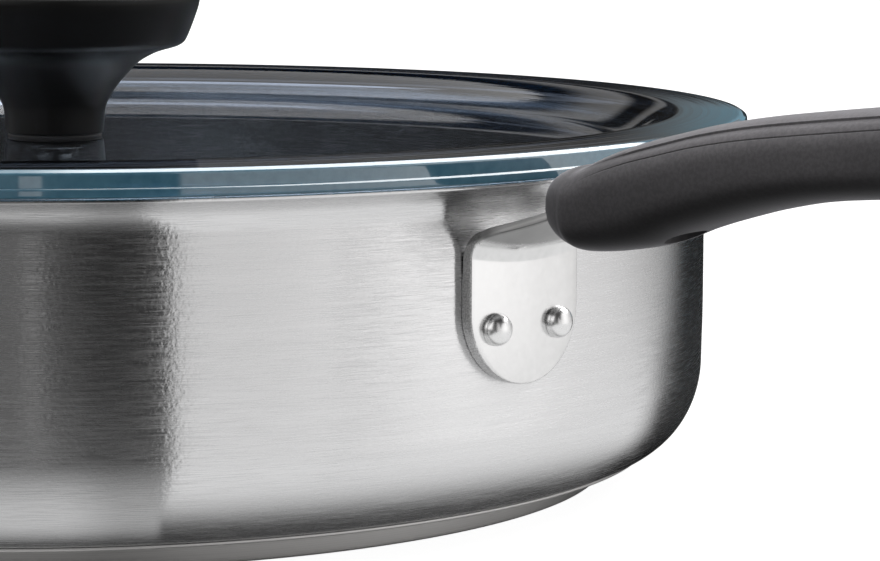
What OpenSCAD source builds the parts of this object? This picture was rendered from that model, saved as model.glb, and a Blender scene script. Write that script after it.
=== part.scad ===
// Saute pan with a flat recessed glass lid.
// The origin is the centre of the base, on the face that the pan rests on.
// +Z is up and +X runs along the handle. All sizes are in millimetres.

/* [Pan] */
// Outer radius of the straight wall
wall_r = 130; // [120:0.5:150]
// Sheet thickness of the wall and floor
sheet_t = 0.9; // [0.7:0.1:1.2]
// Height of the underside of the floor above the rest face
floor_z = 5.5; // [5:0.1:7]
// Height of the lower corner, floor to straight wall
corner_h = 17.4; // [14:0.1:22]
// Radial reach of the lower corner
corner_w = 13.1; // [12.8:0.1:14]
// Height at which the wall starts to flare into the lip
flare_z = 59.7; // [56:0.1:66]
// Radius of the flare, seen from outside
flare_r = 6.3; // [5:0.1:7]

/* [Base disc] */
// Radius of the flat rest face
rest_r = 110; // [104:0.5:112]
// Widest radius of the flange that closes the disc under the lower corner
flange_r = 119.35; // [119:0.05:119.5]
// Sheet thickness of the steel cap under the disc
cap_t = 0.7; // [0.5:0.05:0.75]

/* [Lid] */
// Widest radius of the glass, at its lower bead
glass_r = 138.65; // [138:0.05:139.5]
// Thickness of the tempered glass
glass_t = 4.7; // [4:0.1:5]
// Depth of the flat recess below the rim
recess_d = 5.9; // [4:0.1:7]
// Radius at which the recess is flat
recess_r = 112; // [105:0.5:114]
// Radius at which the rim is flat
rim_r = 125; // [122:0.5:126]
// Radius of the hole for the knob screw
glass_hole_r = 4.5; // [4:0.1:5]

/* [Knob] */
// Radius of the post where it meets the lid
post_r = 9.75; // [9:0.05:11]
// Widest radius of the knob
knob_r = 29.1; // [27:0.1:32]
// Height of the crown above the lid recess
knob_h = 29.7; // [28:0.1:32]

/* [Handle bracket] */
// Width of the plate that is riveted to the wall
plate_w = 26.6; // [24:0.1:28]
// Thickness of the riveted plate
plate_t = 2.3; // [1.8:0.1:2.5]
// Thickness of the neck and tang, drawn thinner by the bend
neck_t = 1.6; // [1.4:0.1:1.8]
// Height of the lowest point of the plate
plate_z = 30.5; // [30:0.1:32]
// Height at which the plate starts to bend outwards
bend_z = 52.8; // [52:0.1:54]
// Inside radius of the bend
bend_r = 4; // [3:0.1:5]
// Slope of the neck above the horizontal, in degrees
neck_a = 22.5; // [21:0.5:24]
// Width of the tang inside the grip
tang_w = 13; // [10:0.5:14]

/* [Rivets] */
// Angle between each rivet and the handle's centre line, in degrees
rivet_a = 3.3; // [3:0.05:3.6]
// Height of the rivets
rivet_z = 40.8; // [40:0.1:42]
// Radius of the shank
rivet_r = 2.4; // [2:0.1:2.5]
// Radius of the formed outer head
rivet_head_r = 2.9; // [2.7:0.05:3.1]
// Height of the domed outer head
rivet_head_h = 2.7; // [2:0.1:3]
// Radius of the flat inner head
rivet_inner_r = 5; // [4:0.1:5.5]

/* [Handle] */
// Distance of the grip's nose from the pan axis
nose_x = 143.4; // [143:0.1:144.4]
// Distance of the grip's far end from the pan axis
tail_x = 332.5; // [332:0.5:336]
// Thickness of the soft grip over the core
grip_t = 2.6; // [2.2:0.1:3]
// Width of the rigid core
core_w = 15; // [14.5:0.5:16]
// Distance of the hanging eye from the pan axis
eye_x = 317; // [315:0.5:318]
// Inner radius of the hanging eye
eye_r = 4.5; // [4:0.1:4.8]
// Distance of the handle screw from the pan axis
screw_x = 169; // [167:0.5:171]

/* [Hidden] */
$fn = 96;
eps = 0.05;

// Points of a circular arc
function arc(cx, cy, r, a0, a1, n) =
    [for (i = [0 : n]) let (a = a0 + (a1 - a0) * i / n) [cx + r * cos(a), cy + r * sin(a)]];
// Points of a quarter ellipse, from its lowest point out to its widest
function corner(cx, cy, a, b, n) =
    [for (i = [0 : n]) let (t = 90 * i / n) [cx + a * sin(t), cy - b * cos(t)]];
// Points of a soft step between two radii
function soft_step(r0, z0, r1, z1, n) =
    [for (i = [0 : n]) let (u = i / n) [r0 + (r1 - r0) * u, z0 + (z1 - z0) * (1 - cos(180 * u)) / 2]];

// ---- pan ---------------------------------------------------------------
corner_r = wall_r - 0.2 - corner_w;
corner_z = floor_z + corner_h;
lip_cx = wall_r + flare_r;
lip_top = flare_z + flare_r + sheet_t;

module pan_section() {
    t = sheet_t;
    polygon(concat(
        [[0, floor_z]],
        corner(corner_r, corner_z, corner_w, corner_h, 16),
        [[wall_r - 0.05, corner_z + 10], [wall_r, corner_z + 17]],
        arc(lip_cx, flare_z, flare_r, 180, 90, 12),
        arc(lip_cx + 0.55, lip_top - t / 2, t / 2, -90, 90, 8),
        arc(lip_cx, flare_z, flare_r + t, 90, 180, 12),
        [[wall_r - t, corner_z + 17], [wall_r - t - 0.05, corner_z + 10]],
        [for (i = [16 : -1 : 0]) corner(corner_r, corner_z, corner_w - t, corner_h - t, 16)[i]],
        [[0, floor_z + t]]));
}

// Places its children at one rivet, with Z pointing away from the pan's axis
module at_rivet(s) {
    rotate([0, 0, s * rivet_a]) translate([0, 0, rivet_z]) rotate([0, 90, 0]) children();
}

module pan_body() {
    color([0.80, 0.79, 0.78])
    difference() {
        rotate_extrude($fn = 180) pan_section();
        for (s = [-1, 1]) at_rivet(s) translate([0, 0, wall_r - 6]) cylinder(r = rivet_r + eps, h = 12, $fn = 48);
    }
}

// ---- base disc ---------------------------------------------------------
cap_side = rest_r + 0.5;
module cap_outer() {
    // Upright side, a cove, and the flange that follows the pan's lower corner
    polygon(concat(
        [[0, 0]],
        arc(rest_r, 0.5, 0.5, -90, 0, 4),
        arc(cap_side + 1.3, floor_z - 2, 1.3, 180, 90, 6),
        [[118 / 119.35 * flange_r, floor_z - 0.6], [flange_r - 0.2, floor_z - 0.38], [flange_r, floor_z - 0.2],
         [flange_r, floor_z + 0.1], [flange_r - 0.15, floor_z + 0.22], [flange_r - 0.45, floor_z + 0.16],
         [118 / 119.35 * flange_r, floor_z], [corner_r, floor_z - eps], [0, floor_z - eps]]));
}
module cap_inner() {
    r = cap_side - cap_t;
    polygon([[0, cap_t], [r - 0.4, cap_t], [r, cap_t + 0.4], [r, floor_z + 1], [0, floor_z + 1]]);
}
module base_cap() {
    color([0.62, 0.61, 0.60])
    rotate_extrude($fn = 180) difference() { cap_outer(); cap_inner(); }
}
module base_core() {
    color([0.72, 0.73, 0.75])
    rotate_extrude($fn = 180) intersection() {
        cap_inner();
        translate([0, -1]) square([flange_r, floor_z + 1]);
    }
}

// ---- handle bracket ----------------------------------------------------
plate_ro = wall_r + eps + plate_t;
neck_c = cos(neck_a);
neck_s = sin(neck_a);
// End of the bend on the face that looks down
bend_end = [plate_ro + bend_r - bend_r * neck_s, bend_z + bend_r * neck_c];
// Where the neck turns into the tang, and where the tang turns again
knee_1 = [152, bend_end[1] + (152 - bend_end[0]) * tan(neck_a)];
knee_2 = [188, knee_1[1] + 8.2];
tang_end = [230, knee_2[1] + 4.4];

module bracket_section() {
    t = neck_t;
    polygon(concat(
        [[plate_ro, plate_z - 1]],
        arc(plate_ro + bend_r, bend_z, bend_r, 180, 90 + neck_a, 10),
        [knee_1, knee_2, tang_end],
        [[tang_end[0] - 0.1 * t, tang_end[1] + t], [knee_2[0] - 0.17 * t, knee_2[1] + t * 1.01],
         [knee_1[0] - 0.31 * t, knee_1[1] + t * 1.0]],
        [for (i = [0 : 10]) let (a = 90 + neck_a + (90 - neck_a) * i / 10, r = bend_r + neck_t + (plate_t - 0.2 - neck_t) * i / 10)
            [plate_ro + bend_r + r * cos(a), bend_z + r * sin(a)]],
        [[wall_r + eps, bend_z - 4], [wall_r + eps, plate_z - 1]]));
}

module bracket_outline() {
    r = plate_w / 2;
    // Plan of the neck and tang
    linear_extrude(height = 120) polygon([[120, -r], [136.5, -r], [140, -r + 1.3], [147, -tang_w / 2 - 1],
        [153, -tang_w / 2], [227, -tang_w / 2], [230, -tang_w / 2 + 3], [230, tang_w / 2 - 3], [227, tang_w / 2],
        [153, tang_w / 2], [147, tang_w / 2 + 1], [140, r - 1.3], [136.5, r], [120, r]]);
}
module plate_outline() {
    r = plate_w / 2;
    // Rounded lower end of the plate, seen along X
    translate([120, 0, 0]) {
        translate([0, 0, plate_z + r]) rotate([0, 90, 0]) cylinder(r = r, h = 120, $fn = 96);
        translate([0, -r, plate_z + r]) cube([120, 2 * r, 90]);
    }
}

module handle_bracket() {
    color([0.78, 0.78, 0.79])
    difference() {
        intersection() {
            rotate([0, 0, -7]) rotate_extrude(angle = 14, $fn = 360) bracket_section();
            bracket_outline();
            plate_outline();
        }
        for (s = [-1, 1]) at_rivet(s) translate([0, 0, wall_r - 6]) cylinder(r = rivet_r + eps, h = 12, $fn = 48);
        translate([screw_x, 0, 55]) cylinder(r = 2.0, h = 30, $fn = 48);
    }
}

module rivet() {
    // Z = 0 is the pan's axis
    rotate_extrude($fn = 64) polygon(concat(
        [[0, wall_r - sheet_t - 1.6], [rivet_inner_r - 1.2, wall_r - sheet_t - 1.6],
         [rivet_inner_r - 0.4, wall_r - sheet_t - 1.35], [rivet_inner_r, wall_r - sheet_t - 0.8],
         [rivet_inner_r, wall_r - sheet_t - 0.12], [rivet_r, wall_r - sheet_t - 0.12],
         [rivet_r, plate_ro]],
        [[rivet_head_r, plate_ro]],
        [for (i = [0 : 6]) [rivet_head_r * cos(15 * i), plate_ro + 0.65 + (rivet_head_h - 0.65) * sin(15 * i)]]));
}
module bracket_rivets() {
    color([0.83, 0.83, 0.84])
    for (s = [-1, 1]) at_rivet(s) rivet();
}

// ---- handle ------------------------------------------------------------
// Middle of the grip: distance from the axis, centre height, full height, full width
grip_body = [
    [152, 63.2, 15.0, 24.0],
    [158, 64.8, 16.9, 24.5],
    [165, 66.7, 17.7, 24.7],
    [172, 68.9, 16.8, 24.7],
    [180, 71.1, 16.2, 24.6],
    [190, 73.3, 15.3, 24.5],
    [202, 75.2, 14.6, 24.2],
    [218, 76.9, 14.9, 24.1],
    [238, 78.5, 16.0, 24.4],
    [260, 79.4, 16.9, 25.4],
    [285, 79.2, 17.1, 26.4],
    [305, 78.1, 16.2, 26.0]];
// Rounding of an end: 0 at its tip and 1 where it meets the full section
function round_end(t, p) = pow(1 - pow(1 - t, p), 1 / p);
// The nose closes to a blunt face: its height is rounded and its width tapers
nose = [for (i = [0 : 4]) let (r = grip_body[0], t = pow(i / 5, 1.6))
    [nose_x + (r[0] - nose_x) * t, r[1], r[2] * (0.5 + 0.5 * round_end(t, 1.8)), r[3] * (0.6 + 0.4 * round_end(t, 1.2))]];
// The far end rounds off nearly to a point
tail = [for (i = [1 : 5]) let (r = grip_body[len(grip_body) - 1], t = pow(1 - i / 5, 1.5), f = 0.12 + 0.88 * round_end(t, 2.4))
    [tail_x - (tail_x - r[0]) * t, r[1] - 2.6 * (1 - t), r[2] * f, r[3] * f]];
stations = concat(nose, grip_body, tail);
ns = len(stations);
// Smooth interpolation through the stations
function spline(a, b, c, d, u) = 0.5 * ((2 * b) + (c - a) * u + (2 * a - 5 * b + 4 * c - d) * u * u + (3 * b - a - 3 * c + d) * u * u * u);
function station(i) = stations[max(0, min(ns - 1, i))];
sub = 2;
rings = [for (i = [0 : ns - 2]) for (k = [0 : sub - 1])
            [for (j = [0 : 3]) spline(station(i - 1)[j], station(i)[j], station(i + 1)[j], station(i + 2)[j], k / sub)],
         stations[ns - 1]];
nr = len(rings);
np = 28;
// Rounded box section, squarer above than below: p = 2 is an ellipse
sec_up = 3.0;
sec_down = 2.6;
function spow(v, p) = (v < 0 ? -1 : 1) * pow(abs(v), p);
function ring_pt(r, k) = let (a = 360 * k / np, p = sin(a) > 0 ? sec_up : sec_down)
    [r[0], r[3] / 2 * spow(cos(a), 2 / p), r[1] + r[2] / 2 * spow(sin(a), 2 / p)];

module grip_solid() {
    pts = [for (r = rings) for (k = [0 : np - 1]) ring_pt(r, k)];
    sides = [for (i = [0 : nr - 2]) for (k = [0 : np - 1])
                let (a = i * np + k, b = i * np + (k + 1) % np, c = (i + 1) * np + (k + 1) % np, d = (i + 1) * np + k)
                each [[a, b, c], [a, c, d]]];
    first = [[for (k = [np - 1 : -1 : 0]) k]];
    last = [[for (k = [0 : np - 1]) (nr - 1) * np + k]];
    polyhedron(points = pts, faces = concat(sides, first, last));
}

// Side view of the rigid core, inside the grip
core_rings = [for (r = rings) if (r[0] > 151 && r[0] < 323) r];
module core_solid() {
    n = len(core_rings);
    rotate([90, 0, 0]) translate([0, 0, -core_w / 2]) linear_extrude(height = core_w) polygon(concat(
        [for (i = [0 : n - 1]) [core_rings[i][0], core_rings[i][1] - core_rings[i][2] / 2 + grip_t]],
        [for (i = [n - 1 : -1 : 0]) [core_rings[i][0], core_rings[i][1] + core_rings[i][2] / 2 - grip_t]]));
}

// The space that the neck and tang take inside the handle
module tang_space() {
    intersection() {
        rotate([0, 0, -7]) rotate_extrude(angle = 14, $fn = 360) bracket_section();
        bracket_outline();
    }
}

eye_z = 77.0;
module screw_space(r_head, r_shank) {
    translate([screw_x, 0, 50]) cylinder(r = r_head, h = 13.5, $fn = 48);
    translate([screw_x, 0, 60]) cylinder(r = r_shank, h = 13.6, $fn = 48);
}

module handle_core() {
    color([0.10, 0.10, 0.11])
    difference() {
        core_solid();
        tang_space();
        screw_space(3.6, 2.1);
        translate([eye_x, 0, 50]) cylinder(r = eye_r + 2 + eps, h = 60, $fn = 64);
    }
}
module handle_grip() {
    color([0.16, 0.16, 0.17])
    difference() {
        grip_solid();
        core_solid();
        tang_space();
        screw_space(3.6, 2.1);
        translate([eye_x, 0, 50]) cylinder(r = eye_r + 2 + eps, h = 60, $fn = 64);
    }
}
module handle_screw() {
    color([0.70, 0.70, 0.71])
    difference() {
        translate([screw_x, 0, 0]) rotate_extrude($fn = 48) polygon([
            [0, 61.1], [2.2, 61.1], [3.0, 61.5], [3.3, 62.2], [3.3, 63.5], [1.95, 63.5], [1.95, 73.0], [1.3, 73.5], [0, 73.5]]);
        for (a = [0, 90]) translate([screw_x, 0, 61]) rotate([0, 0, a]) translate([-1.7, -0.4, -1]) cube([3.4, 0.8, 2.3]);
    }
}
module hanging_eye() {
    color([0.14, 0.14, 0.15])
    translate([eye_x, 0, eye_z]) rotate_extrude($fn = 64) polygon([
        [eye_r, -6.3], [eye_r + 0.6, -6.9], [eye_r + 1.5, -6.9], [eye_r + 2, -6.4],
        [eye_r + 2, 6.4], [eye_r + 1.5, 6.9], [eye_r + 0.6, 6.9], [eye_r, 6.3]]);
}

// ---- lid ---------------------------------------------------------------
glass_z = lip_top + 0.15;
glass_top = glass_z + glass_t;
recess_top = glass_top - recess_d;
recess_bot = glass_z - recess_d;
// How far the lower bead stands out from the upper edge
bead = 0.4;

module glass_section() {
    polygon(concat(
        [[glass_hole_r, recess_top]],
        soft_step(recess_r, recess_top, rim_r, glass_top, 14),
        arc(glass_r - bead - 1.1, glass_top - 1.1, 1.1, 90, 0, 6),
        [[glass_r - bead, glass_z + 1.8], [glass_r - 0.3 * bead, glass_z + 1.45], [glass_r, glass_z + 1.15]],
        arc(glass_r - 0.3, glass_z + 0.3, 0.3, 0, -90, 3),
        [for (i = [14 : -1 : 0]) soft_step(recess_r + 0.6, recess_bot, rim_r + 1, glass_z, 14)[i]],
        [[glass_hole_r, recess_bot]]));
}
module lid_glass() {
    color([0.45, 0.62, 0.68, 0.5])
    rotate_extrude($fn = 180) glass_section();
}

gasket_t = 0.6;
knob_z = recess_top + gasket_t;
crown_z = recess_top + knob_h;
module lid_knob() {
    k = knob_r - 29.1;
    color([0.09, 0.09, 0.10])
    difference() {
        rotate_extrude($fn = 128) polygon([
            [0, knob_z], [post_r - 0.5, knob_z], [post_r, knob_z + 0.5], [post_r + 0.15, knob_z + 2],
            [post_r + 0.3, knob_z + 4], [post_r + 0.6, knob_z + 5.6], [post_r + 1.2, knob_z + 6.9], [post_r + 2.4, knob_z + 8.9],
            [post_r + 4.4, knob_z + 11.4], [post_r + 7.2, knob_z + 14.2], [post_r + 10.1, knob_z + 15.9],
            [22 + k, knob_z + 16.7], [24.5 + k, knob_z + 17.4], [25.8 + k, knob_z + 18.1], [26.5 + k, knob_z + 19.1],
            [27.6 + k, knob_z + 21.7], [28.7 + k, knob_z + 24.8], [29 + k, knob_z + 26.2], [knob_r, knob_z + 27],
            [knob_r - 0.2, knob_z + 27.6], [knob_r - 0.9, crown_z - 1.1],
            [20, crown_z - 0.5], [10, crown_z - 0.15], [0, crown_z]]);
        translate([0, 0, knob_z - 1]) cylinder(r = 4, h = 14, $fn = 64);
    }
}
module knob_insert() {
    color([0.78, 0.62, 0.30])
    translate([0, 0, knob_z + 0.2]) rotate_extrude($fn = 64) polygon([
        [2.55, 0], [3.7, 0], [4, 0.3], [4, 4.6], [3.5, 5.1], [3.5, 6.5], [4, 7], [4, 12.5], [3.7, 12.8], [0, 12.8],
        [0, 11.4], [2.55, 11.4]]);
}
module knob_gasket() {
    color([0.12, 0.12, 0.13])
    rotate_extrude($fn = 96) polygon([
        [2.65, recess_bot + 0.1], [glass_hole_r - eps, recess_bot + 0.1], [glass_hole_r - eps, recess_top],
        [post_r - 0.45, recess_top], [post_r - 0.35, recess_top + 0.3], [post_r - 0.55, knob_z], [2.65, knob_z]]);
}
module under_gasket() {
    color([0.12, 0.12, 0.13])
    rotate_extrude($fn = 96) polygon([
        [2.65, recess_bot - 1], [8.2, recess_bot - 1], [8.5, recess_bot - 0.7], [8.5, recess_bot - 0.2], [8.3, recess_bot], [2.65, recess_bot]]);
}
module screw_washer() {
    color([0.76, 0.76, 0.77])
    rotate_extrude($fn = 96) polygon([
        [2.65, recess_bot - 1.8], [7.2, recess_bot - 1.8], [7.5, recess_bot - 1.6], [7.5, recess_bot - 1], [2.65, recess_bot - 1]]);
}
module knob_screw() {
    z0 = recess_bot - 1.8;
    color([0.76, 0.76, 0.77])
    difference() {
        rotate_extrude($fn = 64) polygon([
            [0, z0 - 2.7], [2.4, z0 - 2.7], [3.9, z0 - 2.2], [4.6, z0 - 1.3], [4.6, z0], [2.5, z0],
            [2.5, knob_z + 10.4], [1.9, knob_z + 11], [0, knob_z + 11]]);
        for (a = [0, 90]) translate([0, 0, z0 - 3]) rotate([0, 0, a]) translate([-2.4, -0.5, -1]) cube([4.8, 1, 2.9]);
    }
}

pan_body();
base_core();
base_cap();
handle_bracket();
bracket_rivets();
handle_core();
handle_grip();
handle_screw();
hanging_eye();
lid_glass();
lid_knob();
knob_insert();
knob_gasket();
under_gasket();
screw_washer();
knob_screw();
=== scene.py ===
import math

import bmesh
import bpy
import numpy as np
from mathutils import Matrix, Vector


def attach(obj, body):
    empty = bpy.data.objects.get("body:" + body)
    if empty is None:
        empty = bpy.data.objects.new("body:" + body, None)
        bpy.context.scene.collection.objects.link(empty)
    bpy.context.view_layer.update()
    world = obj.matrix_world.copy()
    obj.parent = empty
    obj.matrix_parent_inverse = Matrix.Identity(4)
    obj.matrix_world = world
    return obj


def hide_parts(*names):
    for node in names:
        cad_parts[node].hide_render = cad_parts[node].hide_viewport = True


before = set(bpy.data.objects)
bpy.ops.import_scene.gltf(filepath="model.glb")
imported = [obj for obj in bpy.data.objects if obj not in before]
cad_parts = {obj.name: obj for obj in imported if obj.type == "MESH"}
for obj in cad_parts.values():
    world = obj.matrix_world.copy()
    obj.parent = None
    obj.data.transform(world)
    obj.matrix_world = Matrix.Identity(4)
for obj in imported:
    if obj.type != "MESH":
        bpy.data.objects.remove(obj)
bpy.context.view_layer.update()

MM = 0.001
PHI = 38.13         # the handle's azimuth from the camera, in degrees

# ---------------------------------------------------------------- camera
def make_camera():
    dist, height = 706.32, 53.14 + 71.67
    yaw, pitch, roll = math.radians(6.2858), math.radians(7.1448), math.radians(0.226)
    turn = Matrix.Rotation(math.radians(90 - PHI), 3, "Z")
    fwd = Vector((math.sin(yaw) * math.cos(pitch), math.cos(yaw) * math.cos(pitch), -math.sin(pitch)))
    right = Vector((math.cos(yaw), -math.sin(yaw), 0))
    up = right.cross(fwd)
    r3 = right * math.cos(roll) + up * math.sin(roll)
    u3 = -right * math.sin(roll) + up * math.cos(roll)
    fwd, r3, u3 = turn @ fwd, turn @ r3, turn @ u3
    pos = turn @ Vector((0, -dist, 0))
    cam = bpy.data.cameras.new("camera")
    cam.sensor_width = 36.0
    cam.lens = 143.61
    cam.clip_start = 0.01
    cam.clip_end = 100.0
    ob = bpy.data.objects.new("camera", cam)
    bpy.context.collection.objects.link(ob)
    m = Matrix((
        (r3.x, u3.x, -fwd.x, pos.x * MM),
        (r3.y, u3.y, -fwd.y, pos.y * MM),
        (r3.z, u3.z, -fwd.z, height * MM),
        (0, 0, 0, 1)))
    ob.matrix_world = m
    bpy.context.scene.camera = ob
    return ob


camera = make_camera()
bpy.context.scene.view_settings.view_transform = "Standard"

# ---------------------------------------------------------------- mesh helpers
def finish_mesh(name, verts, faces, sharp=35.0):
    me = bpy.data.meshes.new(name)
    me.from_pydata([tuple(v) for v in verts], [], faces)
    bm = bmesh.new()
    bm.from_mesh(me)
    bmesh.ops.remove_doubles(bm, verts=bm.verts, dist=1e-7)
    bmesh.ops.dissolve_degenerate(bm, edges=bm.edges, dist=1e-8)
    bmesh.ops.recalc_face_normals(bm, faces=bm.faces)
    lim = math.radians(sharp)
    for f in bm.faces:
        f.smooth = True
    for e in bm.edges:
        if len(e.link_faces) == 2:
            e.smooth = e.calc_face_angle(0) < lim
    bm.to_mesh(me)
    bm.free()
    ob = bpy.data.objects.new(name, me)
    bpy.context.collection.objects.link(ob)
    return ob


def lathe_data(profile, seg):
    """profile: closed loop of (r, z) in mm, as a solid section; points on the axis become poles."""
    verts, rings = [], []
    for r, z in profile:
        if r < 1e-6:
            rings.append([len(verts)])
            verts.append((0, 0, z * MM))
        else:
            base = len(verts)
            for k in range(seg):
                a = 2 * math.pi * k / seg
                verts.append((r * MM * math.cos(a), r * MM * math.sin(a), z * MM))
            rings.append([base + k for k in range(seg)])
    faces = []
    n = len(rings)
    for i in range(n):
        a, b = rings[i], rings[(i + 1) % n]
        if len(a) == 1 and len(b) == 1:
            continue
        for k in range(seg):
            k2 = (k + 1) % seg
            if len(a) == 1:
                faces.append((a[0], b[k2], b[k]))
            elif len(b) == 1:
                faces.append((a[k], a[k2], b[0]))
            else:
                faces.append((a[k], a[k2], b[k2], b[k]))
    return verts, faces


def lathe(name, profile, seg=256, sharp=35.0):
    v, f = lathe_data(profile, seg)
    return finish_mesh(name, v, f, sharp)


def arc(cx, cy, r, a0, a1, n):
    return [(cx + r * math.cos(math.radians(a0 + (a1 - a0) * i / n)), cy + r * math.sin(math.radians(a0 + (a1 - a0) * i / n))) for i in range(n + 1)]


def corner(cx, cy, a, b, n):
    return [(cx + a * math.sin(math.pi / 2 * i / n), cy - b * math.cos(math.pi / 2 * i / n)) for i in range(n + 1)]


def soft_step(r0, z0, r1, z1, n):
    return [(r0 + (r1 - r0) * i / n, z0 + (z1 - z0) * (1 - math.cos(math.pi * i / n)) / 2) for i in range(n + 1)]


def between(p, q, n):
    """Points strictly between p and q."""
    return [(p[0] + (q[0] - p[0]) * i / n, p[1] + (q[1] - p[1]) * i / n) for i in range(1, n)]


# ---------------------------------------------------------------- materials
def new_mat(name):
    m = bpy.data.materials.new(name)
    m.use_nodes = True
    nt = m.node_tree
    nt.nodes.clear()
    out = nt.nodes.new("ShaderNodeOutputMaterial")
    bsdf = nt.nodes.new("ShaderNodeBsdfPrincipled")
    nt.links.new(bsdf.outputs[0], out.inputs["Surface"])
    return m, nt, bsdf, out


def node(nt, kind, **props):
    n = nt.nodes.new(kind)
    for k, v in props.items():
        setattr(n, k, v)
    return n


def coords(nt, scale):
    tc = node(nt, "ShaderNodeTexCoord")
    mp = node(nt, "ShaderNodeMapping")
    mp.inputs["Scale"].default_value = scale
    nt.links.new(tc.outputs["Object"], mp.inputs["Vector"])
    return mp.outputs["Vector"]


def noise(nt, vec, scale, detail=3.0, rough=0.6):
    n = node(nt, "ShaderNodeTexNoise")
    n.inputs["Scale"].default_value = scale
    n.inputs["Detail"].default_value = detail
    n.inputs["Roughness"].default_value = rough
    nt.links.new(vec, n.inputs["Vector"])
    return n.outputs["Fac"]


def ramp(nt, fac, lo, hi, p0=0.3, p1=0.7):
    r = node(nt, "ShaderNodeMapRange")
    r.inputs["From Min"].default_value = p0
    r.inputs["From Max"].default_value = p1
    r.inputs["To Min"].default_value = lo
    r.inputs["To Max"].default_value = hi
    nt.links.new(fac, r.inputs["Value"])
    return r.outputs["Result"]


def col_ramp(nt, fac, c0, c1, p0=0.3, p1=0.7):
    r = node(nt, "ShaderNodeValToRGB")
    r.color_ramp.elements[0].position = p0
    r.color_ramp.elements[0].color = (*c0, 1)
    r.color_ramp.elements[1].position = p1
    r.color_ramp.elements[1].color = (*c1, 1)
    nt.links.new(fac, r.inputs["Fac"])
    return r.outputs["Color"]


def bump(nt, bsdf, height, strength, dist):
    b = node(nt, "ShaderNodeBump")
    b.inputs["Strength"].default_value = strength
    b.inputs["Distance"].default_value = dist
    nt.links.new(height, b.inputs["Height"])
    nt.links.new(b.outputs["Normal"], bsdf.inputs["Normal"])
    return b


class Sock:
    """A shader socket or a number that does arithmetic by making math nodes."""
    tree = None

    def __init__(self, v):
        self.v = v

    @classmethod
    def op(cls, kind, *args):
        n = cls.tree.nodes.new("ShaderNodeMath")
        n.operation = kind
        for i, x in enumerate(args):
            x = x.v if isinstance(x, Sock) else x
            if isinstance(x, (int, float)):
                n.inputs[i].default_value = x
            else:
                cls.tree.links.new(x, n.inputs[i])
        return Sock(n.outputs[0])

    def __add__(self, o): return Sock.op("ADD", self, o)
    def __radd__(self, o): return Sock.op("ADD", self, o)
    def __sub__(self, o): return Sock.op("SUBTRACT", self, o)
    def __rsub__(self, o): return Sock.op("SUBTRACT", o, self)
    def __mul__(self, o): return Sock.op("MULTIPLY", self, o)
    def __rmul__(self, o): return Sock.op("MULTIPLY", self, o)
    def __truediv__(self, o): return Sock.op("DIVIDE", self, o)


def smooth(x, a, b):
    """0 below a, 1 above b, smooth in between; a may be above b for a falling edge."""
    n = Sock.tree.nodes.new("ShaderNodeMapRange")
    n.interpolation_type = "SMOOTHSTEP"
    lo, hi, flip = (a, b, False) if a < b else (b, a, True)
    n.inputs["From Min"].default_value = lo
    n.inputs["From Max"].default_value = hi
    n.inputs["To Min"].default_value = 1.0 if flip else 0.0
    n.inputs["To Max"].default_value = 0.0 if flip else 1.0
    Sock.tree.links.new(x.v, n.inputs["Value"])
    return Sock(n.outputs["Result"])


def hump(x, mid, width):
    t = (x - mid) / width
    return Sock.op("EXPONENT", -1.0 * (t * t))


def brushed_steel(name, c0, c1, r0, r1, aniso, streak=(60, 60, 5200), strength=0.25, radial=True):
    m, nt, bsdf, out = new_mat(name)
    bsdf.inputs["Metallic"].default_value = 1.0
    vec = coords(nt, streak)
    fine = noise(nt, vec, 1.0, 4.0, 0.65)
    vec2 = coords(nt, (streak[0] * 0.25, streak[1] * 0.25, streak[2] * 0.16))
    broad = noise(nt, vec2, 1.0, 3.0, 0.6)
    mix = node(nt, "ShaderNodeMix", data_type="FLOAT")
    mix.inputs[0].default_value = 0.45
    nt.links.new(fine, mix.inputs[2])
    nt.links.new(broad, mix.inputs[3])
    both = mix.outputs[0]
    nt.links.new(col_ramp(nt, both, c0, c1), bsdf.inputs["Base Color"])
    nt.links.new(ramp(nt, both, r0, r1), bsdf.inputs["Roughness"])
    bsdf.inputs["Anisotropic"].default_value = aniso
    bsdf.inputs["Anisotropic Rotation"].default_value = 0.25
    if radial:
        tg = node(nt, "ShaderNodeTangent", direction_type="RADIAL", axis="Z")
        nt.links.new(tg.outputs[0], bsdf.inputs["Tangent"])
    bump(nt, bsdf, fine, strength, 0.00002)
    return m


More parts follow.
